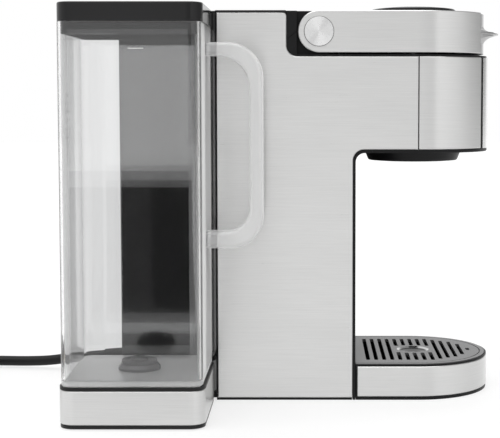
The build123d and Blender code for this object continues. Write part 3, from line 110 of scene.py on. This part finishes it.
cord_curve = bpy.data.curves.new("cord_line", "CURVE")
cord_curve.dimensions = "3D"
cord_curve.bevel_depth = 1.0  # the points' radius gives the tube's, so the curve's box is true
cord_curve.bevel_resolution = 6
cord_curve.resolution_u = 8
cord_curve.use_fill_caps = True
spline = cord_curve.splines.new("NURBS")
spline.points.add(len(route) - 1)
for point, place in zip(spline.points, route):
    point.co = (*place, 1.0)
    point.radius = CORD_D / 2
spline.order_u = 3
spline.use_endpoint_u = True
cord = bpy.data.objects.new("cord_line", cord_curve)
scene.collection.objects.link(cord)
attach(cord, "body")
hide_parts("power_cord", "cord_coil")

# ------------------------------------------------------------------ material tools


def grey(level):
    """An even grey with its alpha."""
    return (level, level, level, 1.0)


WHITE = grey(1.0)


class Nodes:
    """A node tree, with short calls for the nodes that are used here."""

    def __init__(self, tree):
        self.tree = tree

    def add(self, kind, **settings):
        node = self.tree.nodes.new(kind)
        for key, value in settings.items():
            setattr(node, key, value)
        return node

    def link(self, source, target):
        self.tree.links.new(source, target)

    def axes(self, place):
        """The X, Y and Z of a place or a direction."""
        split = self.add("ShaderNodeSeparateXYZ")
        self.link(place, split.inputs["Vector"])
        return split.outputs

    def math(self, operation, a, b=0.0):
        node = self.add("ShaderNodeMath", operation=operation)
        for socket, value in zip(node.inputs, (a, b)):
            if isinstance(value, float):
                socket.default_value = value
            else:
                self.link(value, socket)
        return node.outputs["Value"]

    def spread(self, value, low, high, source_low=0.25, source_high=0.75):
        """The value's source range spread over low to high, and held beyond its ends."""
        node = self.add("ShaderNodeMapRange")
        node.inputs["From Min"].default_value = source_low
        node.inputs["From Max"].default_value = source_high
        node.inputs["To Min"].default_value = low
        node.inputs["To Max"].default_value = high
        self.link(value, node.inputs["Value"])
        return node.outputs["Result"]

    def over(self, layer, color, where):
        """A colour laid over a layer as far as where goes from 0 to 1."""
        mix = self.add("ShaderNodeMix", data_type="RGBA")
        mix.inputs["B"].default_value = color
        self.link(where, mix.inputs["Factor"])
        self.link(layer, mix.inputs["A"])
        return mix.outputs["Result"]


class Paint(Nodes):
    """A node material with its Principled shader, placed by object coordinates."""

    def __init__(self, name, color, roughness, metallic=0.0):
        self.material = bpy.data.materials.new(name)
        self.material.use_nodes = True
        super().__init__(self.material.node_tree)
        self.shader = self.tree.nodes["Principled BSDF"]
        self.color = color
        self.roughness = roughness
        self.set(Base_Color=(*color, 1.0), Roughness=roughness, Metallic=metallic)
        self.place = self.add("ShaderNodeTexCoord").outputs["Object"]

    def set(self, **values):
        for name, value in values.items():
            self.shader.inputs[name.replace("_", " ")].default_value = value

    def drive(self, name, source):
        """Feeds one of the shader's sockets."""
        self.link(source, self.shader.inputs[name])

    def noise(self, stretch, detail=3.0, rough=0.55):
        """Noise whose size along each axis is one over stretch, in metres."""
        mapping = self.add("ShaderNodeMapping")
        mapping.inputs["Scale"].default_value = stretch
        self.link(self.place, mapping.inputs["Vector"])
        texture = self.add("ShaderNodeTexNoise")
        texture.inputs["Scale"].default_value = 1.0
        texture.inputs["Detail"].default_value = detail
        texture.inputs["Roughness"].default_value = rough
        self.link(mapping.outputs["Vector"], texture.inputs["Vector"])
        return texture.outputs["Fac"]

    def shade(self, value, amount):
        """The base colour, made darker and lighter by amount as value goes from low to high."""
        ramp = self.add("ShaderNodeMix", data_type="RGBA")
        ramp.inputs["A"].default_value = (*[c * (1 - amount) for c in self.color], 1.0)
        ramp.inputs["B"].default_value = (*[min(1.0, c * (1 + amount)) for c in self.color], 1.0)
        self.link(self.spread(value, 0.0, 1.0), ramp.inputs["Factor"])
        self.drive("Base Color", ramp.outputs["Result"])
        return ramp.outputs["Result"]

    def gloss(self, value, amount):
        """The roughness, made lower and higher by amount as value goes from low to high."""
        self.drive("Roughness", self.spread(value, self.roughness - amount, self.roughness + amount))

    def relief(self, value, height, strength, edge=0.0):
        """Surface bump of a height in metres, over edges softened by a radius in metres."""
        bump = self.add("ShaderNodeBump")
        bump.inputs["Distance"].default_value = height
        bump.inputs["Strength"].default_value = strength
        self.link(value, bump.inputs["Height"])
        if edge:
            bevel = self.add("ShaderNodeBevel", samples=4)
            bevel.inputs["Radius"].default_value = edge
            self.link(bevel.outputs["Normal"], bump.inputs["Normal"])
        self.drive("Normal", bump.outputs["Normal"])

    def streaks(self, axis):
        """Reflections drawn out as by fine scratches that run round an axis."""
        self.set(Anisotropic=0.85, Anisotropic_Rotation=0.25)
        tangent = self.add("ShaderNodeTangent", direction_type="RADIAL", axis=axis)
        self.drive("Tangent", tangent.outputs["Tangent"])


def brushed(name, color, roughness):
    """Sheet metal brushed level: fine streaks along it, and slow cloudiness."""
    paint = Paint(name, color, roughness, metallic=1.0)
    grain = paint.noise((30.0, 30.0, 1900.0), detail=4.0, rough=0.7)
    cloud = paint.noise((9.0, 9.0, 26.0), detail=2.0)
    mixed = paint.math("ADD", paint.math("MULTIPLY", grain, 0.7), paint.math("MULTIPLY", cloud, 0.3))
    paint.shade(mixed, 0.08)
    paint.gloss(grain, 0.03)
    paint.relief(grain, 0.00002, 0.08, edge=EDGE_R)
    paint.streaks("Z")
    return paint.material


def turned(name, color, roughness, axis):
    """Metal turned about an axis: rings, and the fans of light that they give."""
    paint = Paint(name, color, roughness, metallic=1.0)
    grain = paint.noise((700.0, 700.0, 700.0), detail=3.0)
    paint.shade(grain, 0.05)
    paint.gloss(grain, 0.05)
    paint.relief(grain, 0.00001, 0.2, edge=0.0003)
    paint.streaks(axis)
    return paint.material


def moulded(name, color, roughness, grain_size, depth, specular=0.5):
    """Moulded plastic or rubber: fine grain, slow changes of sheen, edges a little rounded."""
    paint = Paint(name, color, roughness)
    grain = paint.noise((1 / grain_size,) * 3, detail=2.0)
    cloud = paint.noise((22.0, 22.0, 22.0), detail=3.0)
    paint.shade(cloud, 0.12)
    paint.gloss(cloud, min(0.08, roughness * 0.4))
    paint.relief(grain, depth, 0.5, edge=EDGE_R)
    paint.set(Specular_IOR_Level=specular)
    return paint.material


def lacquer(name, color, roughness):
    """Deep gloss on the wall beside the tank, with a plainer sheen on the edge before it."""
    paint = Paint(name, color, roughness)
    cloud = paint.noise((22.0, 22.0, 22.0), detail=3.0)
    paint.shade(cloud, 0.12)
    paint.gloss(cloud, 0.02)
    paint.relief(paint.noise((250.0, 250.0, 250.0)), 0.00001, 0.4)
    x = paint.axes(paint.place)["X"]
    paint.drive("Specular IOR Level", paint.spread(x, 0.08, 0.75, WALL_X - 0.002, WALL_X - 0.001))
    paint.set(IOR=1.9)
    return paint.material


def clear(name, tint, roughness, clearness, haze):
    """Clear moulded plastic: faint upright flow lines, and a milky foot below the tank's floor."""
    paint = Paint(name, tint, roughness)
    flow = paint.noise((150.0, 150.0, 2.0), detail=3.0)
    paint.shade(flow, 0.02)
    z = paint.axes(paint.place)["Z"]
    step = (TANK_FLOOR_Z - 0.0004, TANK_FLOOR_Z + 0.0004)
    paint.drive("Roughness", paint.spread(z, 0.35, roughness, *step))
    paint.drive("Transmission Weight", paint.spread(z, 0.7, clearness, *step))
    paint.set(IOR=1.49, Sheen_Weight=haze, Sheen_Roughness=0.4)
    return paint.material


def away_from(paint, x, y):
    """Distance in plan from an upright line through x, y."""
    offset = paint.add("ShaderNodeVectorMath", operation="SUBTRACT")
    paint.link(paint.place, offset.inputs[0])
    offset.inputs[1].default_value = (x, y, 0.0)
    flat = paint.add("ShaderNodeVectorMath", operation="MULTIPLY")
    paint.link(offset.outputs["Vector"], flat.inputs[0])
    flat.inputs[1].default_value = (1.0, 1.0, 0.0)
    span = paint.add("ShaderNodeVectorMath", operation="LENGTH")
    paint.link(flat.outputs["Vector"], span.inputs[0])
    return span.outputs["Value"]


def grille(name, color, roughness):
    """Painted plate; the dish in its middle is polished, with a bright metal rim, and the bowl
    inside the rim is painted near black as painted shade.
    """
    paint = Paint(name, color, roughness)
    paint.relief(paint.noise((1300.0, 1300.0, 1300.0)), 0.00002, 0.4, edge=0.0003)
    across = away_from(paint, NOSE_X, DISH_Y)
    in_dish = paint.spread(across, 1.0, 0.0, DISH_R - 0.0002, DISH_R + 0.0002)
    # mask of the bowl inside the rim, which gets painted shade
    bowl_painted_shade = paint.spread(across, 1.0, 0.0, DISH_R - 0.0022, DISH_R - 0.0014)
    paint.drive("Metallic", paint.math("SUBTRACT", in_dish, bowl_painted_shade))
    paint.drive("Roughness", paint.spread(in_dish, roughness, 0.12, 0.0, 1.0))
    plate = paint.shade(paint.noise((60.0, 60.0, 60.0)), 0.06)
    rim = paint.over(plate, grey(0.6), in_dish)
    # painted shade: the bowl is coloured near black to stand for the dark of the deep dish
    paint.drive("Base Color", paint.over(rim, grey(0.01), bowl_painted_shade))
    return paint.material


def deck(name, color, roughness):
    """Black moulding whose top, inside the rim, is a grey deck."""
    paint = Paint(name, color, roughness)
    paint.relief(paint.noise((1600.0, 1600.0, 1600.0)), 0.00003, 0.5, edge=EDGE_R)
    plain = paint.shade(paint.noise((22.0, 22.0, 22.0)), 0.12)
    place = paint.axes(paint.place)
    low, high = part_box("reservoir_base")
    inside = paint.spread(place["Z"], 0.0, 1.0, high[2] - 0.0004, high[2] - 0.0002)
    for axis, side in ((0, "X"), (1, "Y")):
        middle = (low[axis] + high[axis]) / 2
        reach = (high[axis] - low[axis]) / 2 - RIM_W
        off = paint.math("ABSOLUTE", paint.math("SUBTRACT", place[side], middle))
        within = paint.spread(off, 1.0, 0.0, reach - 0.0001, reach + 0.0001)
        inside = paint.math("MULTIPLY", inside, within)
    paint.drive("Base Color", paint.over(plain, (0.62, 0.62, 0.625, 1.0), inside))
    paint.set(Specular_IOR_Level=0.3)
    return paint.material


# ------------------------------------------------------------------ materials

BLACK = (0.005, 0.005, 0.0055)

# each slot's maker, colour and roughness, then the maker's own values
finishes = {
    "brushed_steel": (brushed, (0.66, 0.66, 0.655), 0.3),
    "black_plastic": (moulded, BLACK, 0.42, 0.0006, 0.00003, 0.2),
    "gloss_black": (moulded, BLACK, 0.14, 0.004, 0.00001, 0.36),
    "housing_black": (lacquer, BLACK, 0.07),
    "polished_steel": (brushed, (0.82, 0.82, 0.82), 0.2),
    "satin_grey": (brushed, (0.42, 0.42, 0.42), 0.3),
    "turned_steel": (turned, (0.82, 0.82, 0.82), 0.3, "X"),
    "reservoir_deck": (deck, BLACK, 0.42),
    "inner_plastic": (moulded, BLACK, 0.45, 0.0007, 0.00003, 0.22),
    "grille_grey": (grille, (0.125, 0.125, 0.127), 0.35),
    "clear_tank": (clear, (0.955, 0.957, 0.958), 0.01, 1.0, 0.8),
    "clear_handle": (clear, (0.99, 0.991, 0.992), 0.02, 0.66, 1.0),
    "valve_grey": (moulded, (0.09, 0.09, 0.093), 0.16, 0.001, 0.00002),
    "valve_white": (moulded, (0.7, 0.7, 0.69), 0.35, 0.001, 0.00001),
    "bright_steel": (brushed, (0.7, 0.7, 0.7), 0.16),
    "heater_steel": (brushed, (0.5, 0.5, 0.5), 0.34),
    "pump_metal": (brushed, (0.5, 0.51, 0.53), 0.4),
    "silicone": (moulded, (0.5, 0.5, 0.48), 0.55, 0.001, 0.00002),
    "circuit_board": (moulded, (0.02, 0.13, 0.05), 0.35, 0.003, 0.00005),
    "nozzle_black": (moulded, (0.012, 0.012, 0.012), 0.3, 0.001, 0.00001),
    "foot_rubber": (moulded, (0.02, 0.02, 0.02), 0.7, 0.0007, 0.00005, 0.3),
    "key_brew": (turned, (0.6, 0.6, 0.6), 0.3, "Z"),
    "key_small": (moulded, (0.05, 0.05, 0.052), 0.25, 0.001, 0.00001),
    "cord_black": (moulded, (0.006, 0.006, 0.006), 0.45, 0.0008, 0.00002, 0.25),
    "blade_brass": (brushed, (0.75, 0.62, 0.34), 0.28),
}
looks = {slot: make(slot, *values) for slot, (make, *values) in finishes.items()}

slots = {part["node"]: part["material_slot"] for part in frame["record"]["subparts"]}
for name, node in frame["nodes"].items():
    node.data.materials.clear()
    node.data.materials.append(looks[slots[name]])
cord_curve.materials.append(looks["cord_black"])

# ------------------------------------------------------------------ full mark on the tank

MARK_X = -0.10735
MARK_Y0, MARK_Y1 = 0.1035, 0.1140
MARK_Z0, MARK_Z1 = 0.2716, 0.2721


def flat_piece(name, corners, material):
    """One flat face with the given corners."""
    mesh = bpy.data.meshes.new(name)
    mesh.from_pydata(corners, [], [tuple(range(len(corners)))])
    mesh.materials.append(material)
    piece = bpy.data.objects.new(name, mesh)
    scene.collection.objects.link(piece)
    return piece


def upright(x, y0, y1, z0, z1):
    """Corners of an upright rectangle that faces along X."""
    return [(x, y0, z0), (x, y1, z0), (x, y1, z1), (x, y0, z1)]


mark_corners = upright(MARK_X, MARK_Y0, MARK_Y1, MARK_Z0, MARK_Z1)
mark = flat_piece("full_mark", mark_corners, looks["valve_white"])
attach(mark, "tank")

# ------------------------------------------------------------------ floor

FLOOR_REACH = 6.0

paper = Paint("floor_paper", (0.3, 0.3, 0.3), 0.6)
paper.shade(paper.noise((3.0, 3.0, 3.0)), 0.01)
paper.relief(paper.noise((900.0, 900.0, 900.0)), 0.00003, 0.1)
paper.set(Emission_Color=WHITE, Emission_Strength=0.66, Specular_IOR_Level=0.1)
floor_corners = [
    (-FLOOR_REACH, -FLOOR_REACH, 0.0),
    (FLOOR_REACH, -FLOOR_REACH, 0.0),
    (FLOOR_REACH, FLOOR_REACH, 0.0),
    (-FLOOR_REACH, FLOOR_REACH, 0.0),
]
flat_piece("floor", floor_corners, paper.material)

# ------------------------------------------------------------------ studio panels


def lit_card(name, corners, level):
    """A glowing stage card that only mirrored and refracted light meets."""
    paint = Paint(name, (0.0, 0.0, 0.0), 1.0)
    paint.set(Specular_IOR_Level=0.0, Emission_Color=WHITE)
    fade = paint.spread(paint.noise((2.0, 2.0, 2.0)), level * 0.97, level * 1.03)
    paint.drive("Emission Strength", fade)
    panel = flat_piece(name, corners, paint.material)
    panel.visible_camera = False
    panel.visible_diffuse = False
    panel.visible_shadow = False


# two softboxes over a dark flag, far out on the tank's side
FOOT_Z = 0.001  # the cards stand this far over the floor
PANEL_X, PANEL_Y0, PANEL_Y1 = -1.3, 0.162, 0.42
PANEL_Z, PANEL_STEP_Z, PANEL_TOP_Z = 0.093, 0.12, 0.352
for name, low, high, level in (
    ("tall_softbox", PANEL_STEP_Z, PANEL_TOP_Z, 1.25),
    ("low_softbox", PANEL_Z, PANEL_STEP_Z, 0.6),
    ("dark_flag", FOOT_Z, PANEL_Z, 0.01),
):
    lit_card(name, upright(PANEL_X, PANEL_Y0, PANEL_Y1, low, high), level)

# flags on the floor, which widen from the tank's foot to the softboxes
FLAG_NEAR_X, FLAG_STEP_X = -0.355, -0.417
FLAG_Y0, FLAG_Y1 = 0.075, 0.225


def flag_edge(x):
    """Both ends of the flags' edge across the floor at x."""
    part = (x - FLAG_NEAR_X) / (PANEL_X - FLAG_NEAR_X)
    sides = ((FLAG_Y0, PANEL_Y0), (FLAG_Y1, PANEL_Y1))
    return [(x, near + part * (far - near), FOOT_Z) for near, far in sides]


for name, near_x, far_x, level in (
    ("floor_half_flag", FLAG_NEAR_X, FLAG_STEP_X, 0.4),
    ("floor_flag", FLAG_STEP_X, PANEL_X, 0.01),
):
    lit_card(name, flag_edge(near_x) + flag_edge(far_x)[::-1], level)

# the tone that stands behind the clear tank
BACK_X, BACK_Y0, BACK_Y1, BACK_Z = 0.14, 0.145, 0.36, 0.42
lit_card("back_panel", upright(BACK_X, BACK_Y0, BACK_Y1, FOOT_Z, BACK_Z), 0.83)

# ------------------------------------------------------------------ sun and room

sun = bpy.data.lights.new("overhead", "SUN")
sun.angle = math.radians(60)
sun.energy = 1.65
overhead = bpy.data.objects.new("overhead", sun)
overhead.rotation_euler = (math.radians(-6), math.radians(-12), 0.0)
scene.collection.objects.link(overhead)

ROOM_LEVELS = [  # light from each heading, in degrees from the front towards +X
    (-180.0, 1.0),
    (-130.0, 0.8),
    (-115.0, 0.85),
    (-90.0, 0.82),
    (-83.0, 0.7),
    (-60.5, 0.62),
    (-58.0, 1.08),
    (-40.0, 1.0),
    (-20.0, 0.84),
    (5.0, 0.52),
    (35.0, 0.3),
    (50.0, 0.4),
    (62.0, 1.0),
    (150.0, 1.0),
    (180.0, 1.0),
]

world = bpy.data.worlds.new("studio")
world.use_nodes = True
scene.world = world
room = Nodes(world.node_tree)
outward = room.axes(room.add("ShaderNodeTexCoord").outputs["Generated"])
heading = room.math("ARCTAN2", outward["X"], room.math("MULTIPLY", outward["Y"], -1.0))
walls = room.add("ShaderNodeValToRGB")
room.link(room.spread(heading, 0.0, 1.0, -math.pi, math.pi), walls.inputs["Fac"])
levels = walls.color_ramp.elements
levels.remove(levels[-1])
levels[0].color = grey(ROOM_LEVELS[0][1])
for degrees, level in ROOM_LEVELS[1:]:
    levels.new((degrees + 180.0) / 360.0).color = grey(level)

# the camera sees a white backdrop, and the object is lit by the room
seen = room.add("ShaderNodeLightPath").outputs["Is Camera Ray"]
background = room.tree.nodes["Background"]
room.link(room.over(walls.outputs["Color"], WHITE, seen), background.inputs["Color"])

bpy.context.view_layer.update()
